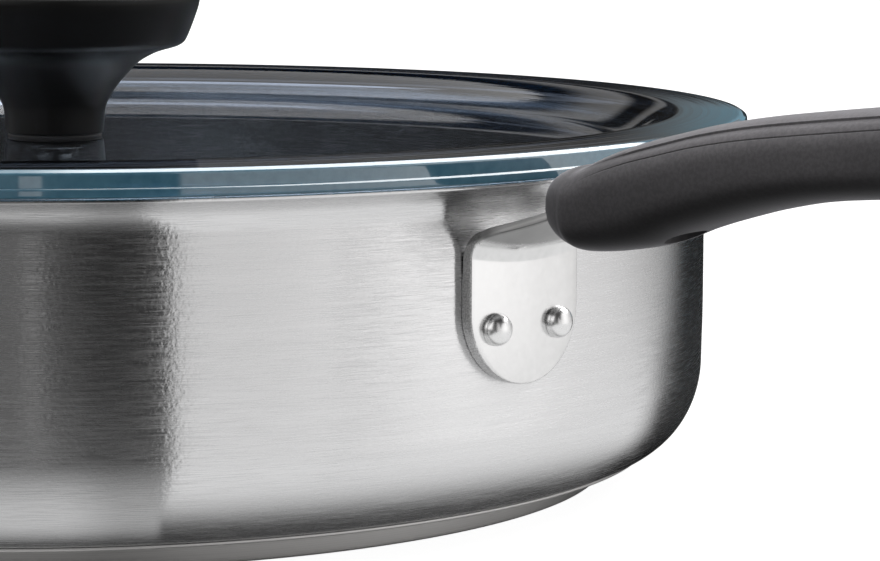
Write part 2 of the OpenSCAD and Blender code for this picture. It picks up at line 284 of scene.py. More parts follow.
def ring_steel(name, c0, c1, r0, r1):
    """Steel brushed in circles about the axis, for flat discs."""
    m, nt, bsdf, out = new_mat(name)
    bsdf.inputs["Metallic"].default_value = 1.0
    tc = node(nt, "ShaderNodeTexCoord")
    sep = node(nt, "ShaderNodeSeparateXYZ")
    nt.links.new(tc.outputs["Object"], sep.inputs[0])
    comb = node(nt, "ShaderNodeCombineXYZ")
    nt.links.new(sep.outputs[0], comb.inputs[0])
    nt.links.new(sep.outputs[1], comb.inputs[1])
    ln = node(nt, "ShaderNodeVectorMath", operation="LENGTH")
    nt.links.new(comb.outputs[0], ln.inputs[0])
    sc = node(nt, "ShaderNodeMath", operation="MULTIPLY")
    sc.inputs[1].default_value = 3000
    nt.links.new(ln.outputs["Value"], sc.inputs[0])
    zz = node(nt, "ShaderNodeMath", operation="MULTIPLY")
    zz.inputs[1].default_value = 3000
    nt.links.new(sep.outputs[2], zz.inputs[0])
    vec = node(nt, "ShaderNodeCombineXYZ")
    nt.links.new(sc.outputs[0], vec.inputs[0])
    nt.links.new(zz.outputs[0], vec.inputs[1])
    sx = node(nt, "ShaderNodeMath", operation="MULTIPLY")
    sx.inputs[1].default_value = 12
    nt.links.new(sep.outputs[0], sx.inputs[0])
    nt.links.new(sx.outputs[0], vec.inputs[2])
    f = noise(nt, vec.outputs[0], 1.0, 4.0, 0.65)
    nt.links.new(col_ramp(nt, f, c0, c1), bsdf.inputs["Base Color"])
    nt.links.new(ramp(nt, f, r0, r1), bsdf.inputs["Roughness"])
    bsdf.inputs["Anisotropic"].default_value = 0.6
    bsdf.inputs["Anisotropic Rotation"].default_value = 0.25
    tg = node(nt, "ShaderNodeTangent", direction_type="RADIAL", axis="Z")
    nt.links.new(tg.outputs[0], bsdf.inputs["Tangent"])
    bump(nt, bsdf, f, 0.2, 0.00002)
    return m


def plastic(name, c0, c1, r0, r1, grain, strength, dist, spec=0.5, coat=0.0, sheen=0.0):
    m, nt, bsdf, out = new_mat(name)
    vec = coords(nt, (1, 1, 1))
    fine = noise(nt, vec, grain, 3.0, 0.6)
    blot = noise(nt, vec, 45.0, 2.0, 0.5)
    nt.links.new(col_ramp(nt, blot, c0, c1, 0.35, 0.65), bsdf.inputs["Base Color"])
    nt.links.new(ramp(nt, blot, r0, r1, 0.35, 0.65), bsdf.inputs["Roughness"])
    bsdf.inputs["Specular IOR Level"].default_value = spec
    if coat:
        bsdf.inputs["Coat Weight"].default_value = coat
        bsdf.inputs["Coat Roughness"].default_value = 0.25
    if sheen:
        bsdf.inputs["Sheen Weight"].default_value = sheen
        bsdf.inputs["Sheen Roughness"].default_value = 0.3
        bsdf.inputs["Sheen Tint"].default_value = (0.9, 0.9, 0.95, 1)
    bump(nt, bsdf, fine, strength, dist)
    return m


def tinted_glass(name):
    """Clear tinted sheet whose ground outer edge is cloudy and deeper in colour."""
    m, nt, bsdf, out = new_mat(name)
    vec = coords(nt, (1, 1, 1))
    tc = node(nt, "ShaderNodeTexCoord")
    sep = node(nt, "ShaderNodeSeparateXYZ")
    nt.links.new(tc.outputs["Object"], sep.inputs[0])
    flat = node(nt, "ShaderNodeCombineXYZ")
    nt.links.new(sep.outputs[0], flat.inputs[0])
    nt.links.new(sep.outputs[1], flat.inputs[1])
    ln = node(nt, "ShaderNodeVectorMath", operation="LENGTH")
    nt.links.new(flat.outputs[0], ln.inputs[0])
    edge = ramp(nt, ln.outputs["Value"], 0.0, 1.0, 0.1364, 0.1376)
    grind = noise(nt, vec, 420.0, 3.0, 0.6)
    teal = col_ramp(nt, grind, (0.085, 0.245, 0.36), (0.125, 0.31, 0.43), 0.3, 0.7)
    mix = node(nt, "ShaderNodeMix", data_type="RGBA")
    body = node(nt, "ShaderNodeMix", data_type="RGBA")
    body.inputs["A"].default_value = (0.92, 0.98, 1.0, 1)
    body.inputs["B"].default_value = (0.40, 0.47, 0.54, 1)
    nt.links.new(ramp(nt, ln.outputs["Value"], 0.0, 1.0, 0.110, 0.114), body.inputs["Factor"])
    nt.links.new(body.outputs["Result"], mix.inputs["A"])
    nt.links.new(edge, mix.inputs["Factor"])
    nt.links.new(teal, mix.inputs["B"])
    nt.links.new(mix.outputs["Result"], bsdf.inputs["Base Color"])
    nt.links.new(ramp(nt, edge, 1.0, 0.3, 0.0, 1.0), bsdf.inputs["Transmission Weight"])
    Sock.tree = nt
    radius, height = Sock(ln.outputs["Value"]) * 1000, Sock(sep.outputs[2]) * 1000
    nt.links.new((Sock(edge) * smooth(height, 67.35, 67.65)).v, bsdf.inputs["Coat Weight"])
    # faint rings left by the press on the rim
    rings = node(nt, "ShaderNodeCombineXYZ")
    nt.links.new(radius.v, rings.inputs[0])
    wave = Sock(noise(nt, rings.outputs[0], 0.8, 3.0, 0.6)) * smooth(radius, 107.0, 112.0)
    bump(nt, bsdf, wave.v, 1.0, 0.00005)
    bsdf.inputs["Coat Roughness"].default_value = 0.04
    bsdf.inputs["Coat IOR"].default_value = 1.8
    bsdf.inputs["IOR"].default_value = 1.52
    smear = noise(nt, vec, 30.0, 3.0, 0.55)
    nt.links.new(ramp(nt, smear, 0.004, 0.03, 0.45, 0.75), bsdf.inputs["Roughness"])
    ab = node(nt, "ShaderNodeVolumeAbsorption")
    ab.inputs["Color"].default_value = (0.38, 0.42, 0.56, 1)
    ab.inputs["Density"].default_value = 85.0
    nt.links.new(ab.outputs[0], out.inputs["Volume"])
    return m


def tint(nt, bsdf, fac, col):
    """Multiplies the base colour by col where fac is 1."""
    src = bsdf.inputs["Base Color"].links[0].from_socket
    mix = node(nt, "ShaderNodeMix", data_type="RGBA", blend_type="MULTIPLY")
    nt.links.new(fac.v, mix.inputs["Factor"])
    nt.links.new(src, mix.inputs["A"])
    mix.inputs["B"].default_value = (*col, 1)
    nt.links.new(mix.outputs["Result"], bsdf.inputs["Base Color"])


def bracket_steel(name):
    """Satin face and a rough sheared edge. Painted shade: past the bend, the arm and its top side have a darker base
    colour; they are also rougher.
    """
    m = brushed_steel(name, (0.68, 0.68, 0.68), (0.76, 0.76, 0.76), 0.16, 0.26, 0.0, (700, 700, 700), 0.12, False)
    nt = m.node_tree
    bsdf = [n for n in nt.nodes if n.type == "BSDF_PRINCIPLED"][0]
    Sock.tree = nt
    tc = node(nt, "ShaderNodeTexCoord")
    sep = node(nt, "ShaderNodeSeparateXYZ")
    nt.links.new(tc.outputs["Object"], sep.inputs[0])
    x, y, z = (Sock(sep.outputs[i]) * 1000 for i in range(3))
    upper_painted_shade = smooth(z * 0.9239 - x * 0.3827, 1.2, 1.9)
    neck_painted_shade = smooth(x, 133.0, 135.4) * (1.0 - upper_painted_shade)
    down = Sock.op("MINIMUM", z - 43.8, 0.0)
    rim = smooth(Sock.op("SQRT", y * y + down * down), 12.98, 13.14) * smooth(x, 134.5, 133.5)
    # painted shade: the arm past the bend and its top side get a darker base colour
    tint(nt, bsdf, neck_painted_shade, (0.36, 0.36, 0.36))
    tint(nt, bsdf, upper_painted_shade, (0.42, 0.42, 0.42))
    specks = Sock(noise(nt, coords(nt, (1, 1, 1)), 4200.0, 2.0, 0.7))
    tint(nt, bsdf, rim * smooth(specks, 0.62, 0.38), (0.55, 0.55, 0.55))
    old = Sock(bsdf.inputs["Roughness"].links[0].from_socket)
    rough = old + 0.30 * upper_painted_shade + 0.10 * neck_painted_shade + 0.2 * rim
    nt.links.new(rough.v, bsdf.inputs["Roughness"])
    return m


M_WALL = brushed_steel("wall_steel", (0.675, 0.675, 0.68), (0.735, 0.735, 0.74), 0.20, 0.26, 0.97, (50, 50, 4200), 0.06)
def wall_grain(mat):
    """Short rougher strokes and a faint orange peel on top of the brushing."""
    nt = mat.node_tree
    bsdf = [n for n in nt.nodes if n.type == "BSDF_PRINCIPLED"][0]
    strokes = noise(nt, coords(nt, (140, 140, 5600)), 1.0, 3.0, 0.7)
    nt.links.new(ramp(nt, strokes, 0.17, 0.36, 0.36, 0.74), bsdf.inputs["Roughness"])
    peel = noise(nt, coords(nt, (1, 1, 1)), 1300.0, 2.0, 0.5)
    first = [n for n in nt.nodes if n.type == "BUMP"][0]
    b = bump(nt, bsdf, peel, 1.0, 0.000018)
    nt.links.new(first.outputs["Normal"], b.inputs["Normal"])
    # the brushing follows the sheet: round the wall, and in rings on the floor
    Sock.tree = nt
    tc = node(nt, "ShaderNodeTexCoord")
    sep = node(nt, "ShaderNodeSeparateXYZ")
    nt.links.new(tc.outputs["Object"], sep.inputs[0])
    x, y, z = (Sock(sep.outputs[i]) for i in range(3))
    along = z + Sock.op("SQRT", x * x + y * y)
    where = node(nt, "ShaderNodeCombineXYZ")
    for i, c in enumerate((x, y, along)):
        nt.links.new(c.v, where.inputs[i])
    for n in [n for n in nt.nodes if n.type == "MAPPING"]:
        nt.links.new(where.outputs[0], n.inputs["Vector"])


wall_grain(M_WALL)
M_CAP = ring_steel("base_steel", (0.62, 0.61, 0.60), (0.76, 0.75, 0.74), 0.42, 0.54)
M_BRACKET = bracket_steel("bracket_satin")
M_RIVET = brushed_steel("rivet_polished", (0.74, 0.74, 0.74), (0.82, 0.82, 0.82), 0.24, 0.32, 0.0, (900, 900, 900), 0.06, False)
M_SCREW = brushed_steel("screw_plain", (0.55, 0.55, 0.55), (0.68, 0.68, 0.68), 0.18, 0.32, 0.0, (900, 900, 900), 0.1, False)
M_ALU = brushed_steel("aluminium_disc", (0.60, 0.61, 0.62), (0.70, 0.71, 0.72), 0.3, 0.45, 0.0, (400, 400, 400), 0.1, False)
M_BRASS = brushed_steel("brass_turned", (0.62, 0.46, 0.20), (0.75, 0.57, 0.28), 0.2, 0.35, 0.0, (900, 900, 900), 0.1, False)
M_GRIP = plastic("soft_grip", (0.180, 0.175, 0.184), (0.208, 0.202, 0.212), 0.52, 0.62, 2600, 0.30, 0.00004, 0.04, 0.0, 0.5)
M_KNOB = plastic("knob_satin", (0.008, 0.008, 0.008), (0.011, 0.011, 0.011), 0.36, 0.44, 2600, 0.10, 0.00003, 0.14)
M_NYLON = plastic("core_nylon", (0.02, 0.02, 0.021), (0.03, 0.03, 0.031), 0.45, 0.6, 2000, 0.15, 0.00003)
M_SILICONE = plastic("silicone", (0.02, 0.02, 0.022), (0.03, 0.03, 0.032), 0.55, 0.7, 3000, 0.1, 0.00002)
M_GLASS = tinted_glass("tinted_glass")


def paint_grip_light_and_shade(mat):
    """Painted light and shade in the grip's base colour: full on the top, darker on the sides and much darker
    underneath, by the surface normal; also darker towards the pan end, with a random mottle.
    """
    nt = mat.node_tree
    bsdf = [n for n in nt.nodes if n.type == "BSDF_PRINCIPLED"][0]
    Sock.tree = nt
    geo = node(nt, "ShaderNodeNewGeometry")
    sep = node(nt, "ShaderNodeSeparateXYZ")
    nt.links.new(geo.outputs["Normal"], sep.inputs[0])
    nz = Sock(sep.outputs[2])
    tc = node(nt, "ShaderNodeTexCoord")
    place = node(nt, "ShaderNodeSeparateXYZ")
    nt.links.new(tc.outputs["Object"], place.inputs[0])
    # darker towards the pan end
    tint(nt, bsdf, smooth(Sock(place.outputs[0]) * 1000, 205, 155), (0.74, 0.74, 0.74))
    # painted light and shade: sides darkened, underside darkened far more, by the surface normal
    tint(nt, bsdf, smooth(nz, 0.42, -0.08), (0.52, 0.52, 0.52))
    tint(nt, bsdf, smooth(nz, -0.15, -0.85), (0.16, 0.16, 0.16))
    mottle = Sock(noise(nt, coords(nt, (1, 1, 1)), 1400.0, 3.0, 0.65))
    tint(nt, bsdf, smooth(mottle, 0.62, 0.38), (0.84, 0.84, 0.84))


paint_grip_light_and_shade(M_GRIP)


def dress(ob, mat, slot_name, body, *nodes):
    ob.data.materials.clear()
    ob.data.materials.append(mat)
    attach(ob, body)
    if nodes:
        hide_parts(*nodes)
    return ob


# ---------------------------------------------------------------- pan body
wall_r, sheet_t, floor_z = 130.0, 0.9, 5.5
corner_w, corner_h = 13.1, 17.4
flare_z, flare_r = 59.7, 6.3
corner_r = wall_r - 0.2 - corner_w
corner_z = floor_z + corner_h
lip_cx = wall_r + flare_r
lip_top = flare_z + flare_r + sheet_t

outer = [(0, floor_z), (30, floor_z), (60, floor_z), (90, floor_z), (110, floor_z)]
outer += corner(corner_r, corner_z, corner_w, corner_h, 40)
outer += [(wall_r - 0.12, corner_z + 4), (wall_r - 0.03, corner_z + 8), (wall_r, corner_z + 12)]
outer += between((wall_r, corner_z + 12), (wall_r, flare_z), 6)
outer += arc(lip_cx, flare_z, flare_r, 180, 90, 28)
lip_end = arc(lip_cx + 0.55, lip_top - sheet_t / 2, sheet_t / 2, -90, 90, 12)
inner = arc(lip_cx, flare_z, flare_r + sheet_t, 90, 180, 28)
inner += between((wall_r - sheet_t, flare_z), (wall_r - sheet_t, corner_z + 12), 6)
inner += [(wall_r - sheet_t, corner_z + 12), (wall_r - sheet_t - 0.03, corner_z + 8), (wall_r - sheet_t - 0.12, corner_z + 4)]
inner += corner(corner_r, corner_z, corner_w - sheet_t, corner_h - sheet_t, 40)[::-1]
inner += [(110, floor_z + sheet_t), (90, floor_z + sheet_t), (60, floor_z + sheet_t), (30, floor_z + sheet_t), (0, floor_z + sheet_t)]
pan = lathe("pan_shell", outer + lip_end + inner, 320, 40)
dress(pan, M_WALL, "brushed_steel_body", "pan", "pan_body")

# ---------------------------------------------------------------- base cap
rest_r, flange_r, cap_t = 110.0, 119.35, 0.7
side_r = rest_r + 0.5
cap = [(0, 0), (40, 0), (80, 0), (100, 0)]
cap += arc(rest_r, 0.5, 0.5, -90, -4, 10)
cap += [(side_r + 0.02, 1.2), (side_r + 0.04, 2.0), (side_r + 0.03, 2.8)]
cap += arc(side_r + 1.3, floor_z - 2, 1.3, 180, 90, 12)
cap += [(114, 4.81), (116.5, 4.83), (118, 4.92), (118.8, 5.04)]
cap += [(119.15, 5.12), (119.27, 5.18), (119.33, 5.27), (flange_r, 5.36), (flange_r, 5.5), (119.33, 5.6), (119.27, 5.68), (119.17, 5.72), (119.0, 5.7), (118.5, 5.58),
        (118, floor_z - 0.01), (117, floor_z - 0.05), (114, floor_z - 0.05), (side_r - cap_t, floor_z - 0.05), (side_r - cap_t, 3.0), (side_r - cap_t, cap_t + 0.4), (side_r - cap_t - 0.4, cap_t), (80, cap_t), (40, cap_t), (0, cap_t)]
capo = lathe("base_cap_shell", cap, 320, 40)
dress(capo, M_CAP, "base_steel", "pan", "base_cap")

# ---------------------------------------------------------------- bracket
plate_w, plate_t, neck_t, plate_z, bend_z, bend_r = 26.6, 2.3, 1.6, 30.5, 52.8, 4.0
neck_a = math.radians(22.5)
plate_ro = wall_r + 0.05 + plate_t
tang_w = 13.0


def ease(u):
    u = max(0.0, min(1.0, u))
    return u * u * (3 - 2 * u)


def bracket_path():
    """Points (rho, z, nr, nz, half width, thickness, trough) along the face that looks out and down; n points away from it."""
    pts = []
    z0 = plate_z
    r = plate_w / 2
    for i in range(0, 49):
        a = math.pi / 2 * i / 48
        z = z0 + r * (1 - math.cos(a))
        pts.append((plate_ro, z, 1.0, 0.0, max(r * math.sin(a), 0.25), plate_t, 0.0))
    for i in range(1, 15):
        z = z0 + r + (bend_z - z0 - r) * i / 15
        pts.append((plate_ro, z, 1.0, 0.0, r, plate_t - 0.2 * ease((z - 48.5) / 4.3), ease((z - 47.5) / 7.0)))
    cx, cz, rad = plate_ro + bend_r, bend_z, bend_r
    end_a = math.pi / 2 + neck_a
    for i in range(0, 25):
        a = math.pi + (end_a - math.pi) * i / 24
        t = plate_t - 0.2 + (neck_t - plate_t + 0.2) * i / 24
        z = cz + rad * math.sin(a)
        pts.append((cx + rad * math.cos(a), z, -math.cos(a), -math.sin(a), r, t, ease((z - 47.5) / 7.0)))
    last = pts[-1]
    d = (math.cos(neck_a), math.sin(neck_a))
    n = (math.sin(neck_a), -math.cos(neck_a))
    total = (152 - last[0]) / d[0]
    for i in range(1, 31):
        s = total * i / 30
        x = last[0] + d[0] * s
        if x < 136.5:
            hw = r
        else:
            hw = r + (tang_w / 2 + 0.8 - r) * ease((x - 136.5) / 11.0)
        pts.append((x, last[1] + d[1] * s, n[0], n[1], hw, neck_t, last[6] * (1 - ease((x - 134) / 12.0))))
    x1, z1 = pts[-1][0], pts[-1][1]
    for x2, dz, cnt in ((188, 8.2, 8), (230, 4.4, 8)):
        dx = x2 - x1
        ln = math.hypot(dx, dz)
        for i in range(1, cnt + 1):
            pts.append((x1 + dx * i / cnt, z1 + dz * i / cnt, dz / ln, -dx / ln, tang_w / 2, neck_t, 0.0))
        x1, z1 = x2, z1 + dz
    return pts


def build_bracket():
    path = bracket_path()
    e = 0.3
    verts, rings = [], []
    cols = 20
    for rho, z, nr, nz, hw, t, trough in path:
        ring = []
        er = min(e, hw * 0.8)
        sec = []
        for k in range(cols + 1):
            sec.append((-hw + er + 2 * (hw - er) * k / cols, 0.0))
        for k in range(1, 5):
            a = math.pi / 2 - math.pi / 2 * k / 5
            sec.append((hw - er + er * math.cos(a), -er + er * math.sin(a)))
        sec.append((hw, -er))
        sec.append((hw, -t / 2))
        sec.append((hw, -t + er))
        for k in range(1, 5):
            a = -math.pi / 2 * k / 5
            sec.append((hw - er + er * math.cos(a), -t + er + er * math.sin(a)))
        for k in range(cols + 1):
            sec.append((hw - er - 2 * (hw - er) * k / cols, -t))
        for k in range(1, 5):
            a = -math.pi / 2 - math.pi / 2 * k / 5
            sec.append((-hw + er + er * math.cos(a), -t + er + er * math.sin(a)))
        sec.append((-hw, -t + er))
        sec.append((-hw, -t / 2))
        sec.append((-hw, -er))
        for k in range(1, 5):
            a = math.pi - math.pi / 2 * k / 5
            sec.append((-hw + er + er * math.cos(a), -er + er * math.sin(a)))
        for y, d in sec:
            rr = rho + nr * d
            zz = z + nz * d + trough * (1.35 * min(1.0, (y / 13.3) ** 2) - 0.95)
            x = math.sqrt(max(rr * rr - y * y, 0))
            ring.append(len(verts))
            verts.append((x * MM, y * MM, zz * MM))
        rings.append(ring)
    faces = []
    n = len(rings[0])
    for i in range(len(rings) - 1):
        for k in range(n):
            faces.append((rings[i][k], rings[i][(k + 1) % n], rings[i + 1][(k + 1) % n], rings[i + 1][k]))
    faces.append(tuple(rings[0][::-1]))
    faces.append(tuple(rings[-1]))
    return finish_mesh("bracket", verts, faces, 50)


bracket = build_bracket()
dress(bracket, M_BRACKET, "bracket_steel", "pan", "handle_bracket")

# ---------------------------------------------------------------- rivets
RIVET_A, RIVET_Z = 3.3, 40.8
rivet_profile = [(0, 127.5), (3.8, 127.5), (4.5, 127.7), (4.9, 128.05), (5, 128.4), (5, 128.98), (2.4, 128.98), (2.4, plate_ro)]
rivet_profile += [(2.82, plate_ro), (2.9, plate_ro + 0.06), (2.9, plate_ro + 0.52), (2.86, plate_ro + 0.6)]
rivet_profile += [(2.83 * math.cos(math.radians(5 * i)), plate_ro + 0.65 + 2.05 * math.sin(math.radians(5 * i))) for i in range(0, 18)] + [(0, plate_ro + 2.7)]


def build_rivets():
    v, f = lathe_data(rivet_profile, 64)
    verts, faces = [], []
    for s in (-1, 1):
        m = Matrix.Rotation(math.radians(RIVET_A * s), 4, "Z") @ Matrix.Translation((0, 0, RIVET_Z * MM)) @ Matrix.Rotation(math.pi / 2, 4, "Y")
        base = len(verts)
        verts += [m @ Vector(p) for p in v]
        faces += [tuple(i + base for i in g) for g in f]
    return finish_mesh("rivets", verts, faces, 40)


rivets = build_rivets()
dress(rivets, M_RIVET, "rivet_steel", "pan", "bracket_rivets")

# ---------------------------------------------------------------- grip
GRIP_BODY = [
    (152, 63.2, 15.0, 24.0), (158, 64.8, 16.9, 24.5), (165, 66.7, 17.7, 24.7), (172, 68.9, 16.8, 24.7), (180, 71.1, 16.2, 24.6), (190, 73.3, 15.3, 24.5),
    (202, 75.2, 14.6, 24.2), (218, 76.9, 14.9, 24.1), (238, 78.5, 16.0, 24.4), (260, 79.4, 16.9, 25.4), (285, 79.2, 17.1, 26.4), (305, 78.1, 16.2, 26.0)]
NOSE_X, TAIL_X = 143.4, 332.5


def round_end(t, p):
    return (1 - (1 - t) ** p) ** (1 / p)


STATIONS = []
for i in range(5):
    r0, t = GRIP_BODY[0], (i / 5) ** 1.6
    STATIONS.append((NOSE_X + (r0[0] - NOSE_X) * t, r0[1], r0[2] * (0.5 + 0.5 * round_end(t, 1.8)), r0[3] * (0.6 + 0.4 * round_end(t, 1.2))))
STATIONS += GRIP_BODY
for i in range(1, 6):
    r0, t = GRIP_BODY[-1], (1 - i / 5) ** 1.5
    f = 0.12 + 0.88 * round_end(t, 2.4)
    STATIONS.append((TAIL_X - (TAIL_X - r0[0]) * t, r0[1] - 2.6 * (1 - t), r0[2] * f, r0[3] * f))


def cr(a, b, c, d, u):
    return 0.5 * (2 * b + (c - a) * u + (2 * a - 5 * b + 4 * c - d) * u * u + (3 * b - a - 3 * c + d) * u ** 3)


def grip_rings(sub):
    n = len(STATIONS)
    out = []
    for i in range(n - 1):
        p = [STATIONS[max(0, min(n - 1, i + k))] for k in (-1, 0, 1, 2)]
        for k in range(sub):
            out.append([cr(p[0][j], p[1][j], p[2][j], p[3][j], k / sub) for j in range(4)])
    out.append(list(STATIONS[-1]))
    return out


PAD, STEP, GROOVE = 0.76, 0.35, 0.15      # where the pad ends (share of the half width), depth of the step and of the groove


def quarter(w, h, p, n=300):
    """Points of a rounded box's quarter from the middle of the top to the widest point, with the length along it."""
    pts = []
    for k in range(n + 1):
        a = math.pi / 2 * (1 - k / n)
        pts.append((w / 2 * abs(math.cos(a)) ** (2 / p), h / 2 * abs(math.sin(a)) ** (2 / p)))
    s = [0.0]
    for q, r in zip(pts, pts[1:]):
        s.append(s[-1] + math.hypot(r[0] - q[0], r[1] - q[1]))
    return np.array(pts), np.array(s)


def grip_section(w, h, x):
    """One closed section (y, z): a raised pad on top, a small step round it, a fine groove, full sides and a rounded underside."""
    fade = ease((x - 152) / 16.0) * (1 - ease((x - 308) / 14.0))
    pts, s = quarter(w, h, 3.0)
    k0 = min(1.0, s[-1] / 15.0)      # smaller steps at the narrow ends
    edge = float(np.interp(PAD * w / 2, pts[:, 0], s))
    seam = float(np.interp(-(h / 2 - 3.5 * k0), -pts[:, 1], s))
    near = [0.0, 0.07, 0.14, 0.22, 0.32, 0.45, 0.62, 0.85, 1.15, 1.5]
    lines = [-0.26, -0.17, -0.1, -0.05, 0.0, 0.05, 0.1, 0.17, 0.26]
    at = [edge * k / 12 for k in range(12)] + [edge + d * k0 for d in near]
    seam = max(seam, at[-1] + 0.7 * k0)
    at += [at[-1] + (seam - 0.26 * k0 - at[-1]) * k / 3 for k in (1, 2)] + [seam + d * k0 for d in lines]
    at += [at[-1] + (s[-1] - at[-1]) * k / 7 for k in range(1, 8)]
    half = []
    for t in at:
        y, z = float(np.interp(t, s, pts[:, 0])), float(np.interp(t, s, pts[:, 1]))
        y2, z2 = float(np.interp(t + 0.05 * k0, s, pts[:, 0])), float(np.interp(t + 0.05 * k0, s, pts[:, 1]))
        y1, z1 = float(np.interp(t - 0.05 * k0, s, pts[:, 0])), float(np.interp(t - 0.05 * k0, s, pts[:, 1]))
        ln = max(math.hypot(y2 - y1, z2 - z1), 1e-9)
        ny, nz = -(z2 - z1) / ln, (y2 - y1) / ln
        u = t - edge
        d = STEP * (ease(u / 0.22) if u < 0.22 else 1 - ease((u - 0.22) / 2.2)) if u > 0 else 0.0
        d += GROOVE * math.exp(-((t - seam) / 0.11) ** 2)
        half.append((y - ny * d * fade, z - nz * d * fade))
    low = []
    n = 22
    for k in range(1, n + 1):
        a = math.pi / 2 * k / n
        low.append((w / 2 * math.cos(a) ** (2 / 2.6), -h / 2 * math.sin(a) ** (2 / 2.6)))
    right = half + low
    left = [(-y, z) for y, z in right[-2:0:-1]]
    return right + left


def build_grip():
    rings_ = grip_rings(6)
    verts, faces = [], []
    n = None
    for x, zc, h, w in rings_:
        sec = grip_section(w, h, x)
        n = len(sec)
        for y, z in sec:
            verts.append((x * MM, y * MM, (zc + z) * MM))
    for i in range(len(rings_) - 1):
        for k in range(n):
            a, b = i * n + k, i * n + (k + 1) % n
            faces.append((a, b, b + n, a + n))
    x, zc, h, w = rings_[0]
    # blunt nose face, slightly domed
    inner = []
    base = len(verts)
    sec = grip_section(w, h, x)
    for f, dx in ((0.82, -0.18), (0.5, -0.3)):
        for y, z in sec:
            verts.append(((x + dx) * MM, y * f * MM, (zc + z * f) * MM))
    for k in range(n):
        k2 = (k + 1) % n
        faces.append((k, base + k, base + k2, k2))
        faces.append((base + k, base + n + k, base + n + k2, base + k2))
    first = len(verts)
    verts.append(((x - 0.34) * MM, 0, zc * MM))
    for k in range(n):
        faces.append((first, base + n + (k + 1) % n, base + n + k))
    x, zc, h, w = rings_[-1]
    last = len(verts)
    verts.append((x * MM, 0, zc * MM))
    o = (len(rings_) - 1) * n
    for k in range(n):
        faces.append((last, o + k, o + (k + 1) % n))
    return finish_mesh("grip", verts, faces, 50)


def cut(ob, cutter):
    mod = ob.modifiers.new("cut", "BOOLEAN")
    mod.operation = "DIFFERENCE"
    mod.solver = "EXACT"
    mod.object = cutter
    dg = bpy.context.evaluated_depsgraph_get()
    me = bpy.data.meshes.new_from_object(ob.evaluated_get(dg))
    ob.modifiers.clear()
    old = ob.data
    ob.data = me
    bpy.data.meshes.remove(old)
    bpy.data.objects.remove(cutter)


grip = build_grip()
EYE_X = 317.0
bpy.context.view_layer.update()


def moved_cutter(profile, x):
    v, f = lathe_data(profile, 64)
    return finish_mesh("cutter", [(p[0] + x * MM, p[1], p[2]) for p in v], f, 40)


cut(grip, moved_cutter([(0, 50), (6.52, 50), (6.52, 110), (0, 110)], EYE_X))
cut(grip, moved_cutter([(0, 50), (3.6, 50), (3.6, 63.5), (0, 63.5)], 169.0))
dress(grip, M_GRIP, "soft_grip", "pan", "handle_grip")
bm = bmesh.new()
bm.from_mesh(grip.data)
for fc in bm.faces:
    fc.smooth = True
for ed in bm.edges:
    if len(ed.link_faces) == 2:
        ed.smooth = ed.calc_face_angle(0) < math.radians(45)
bm.to_mesh(grip.data)
bm.free()

# ---------------------------------------------------------------- lid
glass_r, glass_t, recess_d, recess_r, rim_r, hole_r = 138.65, 4.7, 5.9, 112.0, 125.0, 4.5
bead, flange_drop = 0.4, 0.3
glass_z = lip_top + 0.15
glass_top = glass_z + glass_t
recess_top = glass_top - recess_d
recess_bot = glass_z - recess_d
gp = [(hole_r, recess_top), (30, recess_top), (60, recess_top), (90, recess_top), (108, recess_top)]
gp += soft_step(recess_r, recess_top, rim_r, glass_top + flange_drop, 40)
for i in range(1, 13):          # the flange falls a little towards its edge
    t = i / 12
    gp.append((rim_r + (135.5 - rim_r) * t, glass_top + flange_drop * (1 - 0.5 * t - 0.5 * t * t)))
gp += [(137.15, 71.74), (137.36, 71.7), (137.5, 71.62), (137.56, 71.58), (137.98, 71.3), (138.05, 71.25), (138.14, 71.16), (138.2, 71.05), (138.24, 70.93), (glass_r - bead, 70.8), (glass_r - bead, 70.7)]
gp += [(glass_r - bead, 69.7), (glass_r - bead, 69.0), (glass_r - bead, 68.76), (glass_r - 0.04, 68.49), (glass_r - 0.015, 68.46), (glass_r, 68.42), (glass_r, 68.34), (glass_r, 67.72), (glass_r, 67.66)]
gp += arc(glass_r - 0.3, glass_z + 0.3, 0.3, 0, -90, 8)
gp += [(136, glass_z), (133, glass_z), (129, glass_z)]
gp += soft_step(recess_r + 0.6, recess_bot, rim_r + 1, glass_z, 40)[::-1]
gp += [(108, recess_bot), (90, recess_bot), (60, recess_bot), (30, recess_bot), (hole_r, recess_bot)]
glass = lathe("lid_glass_disc", gp, 320, 40)
dress(glass, M_GLASS, "tinted_glass", "lid", "lid_glass")

knob_z = recess_top + 0.6
crown_z = recess_top + 29.7


def smooth_profile(pts, sub):
    out = []
    n = len(pts)
    for i in range(n - 1):
        p = [pts[max(0, min(n - 1, i + k))] for k in (-1, 0, 1, 2)]
        for k in range(sub):
            out.append((cr(p[0][0], p[1][0], p[2][0], p[3][0], k / sub), cr(p[0][1], p[1][1], p[2][1], p[3][1], k / sub)))
    out.append(pts[-1])
    return out


kp = [(9.25, 0), (9.6, 0.12), (9.75, 0.5), (9.9, 2), (10.05, 4), (10.35, 5.6), (10.95, 6.9), (12.15, 8.9), (14.15, 11.4), (16.95, 14.2),
      (19.85, 15.9), (22, 16.7), (24.5, 17.4), (25.8, 18.1), (26.5, 19.1), (27.6, 21.7), (28.7, 24.8), (29.05, 26.2), (29.1, 27.0),
      (28.9, 27.6), (28.2, 28.0), (26.5, 28.15)]
kp = smooth_profile(kp, 5)
kp = [(0, knob_z)] + [(r, knob_z + z) for r, z in kp] + [(20, crown_z - 0.5), (15, crown_z - 0.28), (10, crown_z - 0.12), (5, crown_z - 0.03), (0, crown_z)]
knob = lathe("knob", kp, 160, 50)
dress(knob, M_KNOB, "knob_phenolic", "lid", "lid_knob")

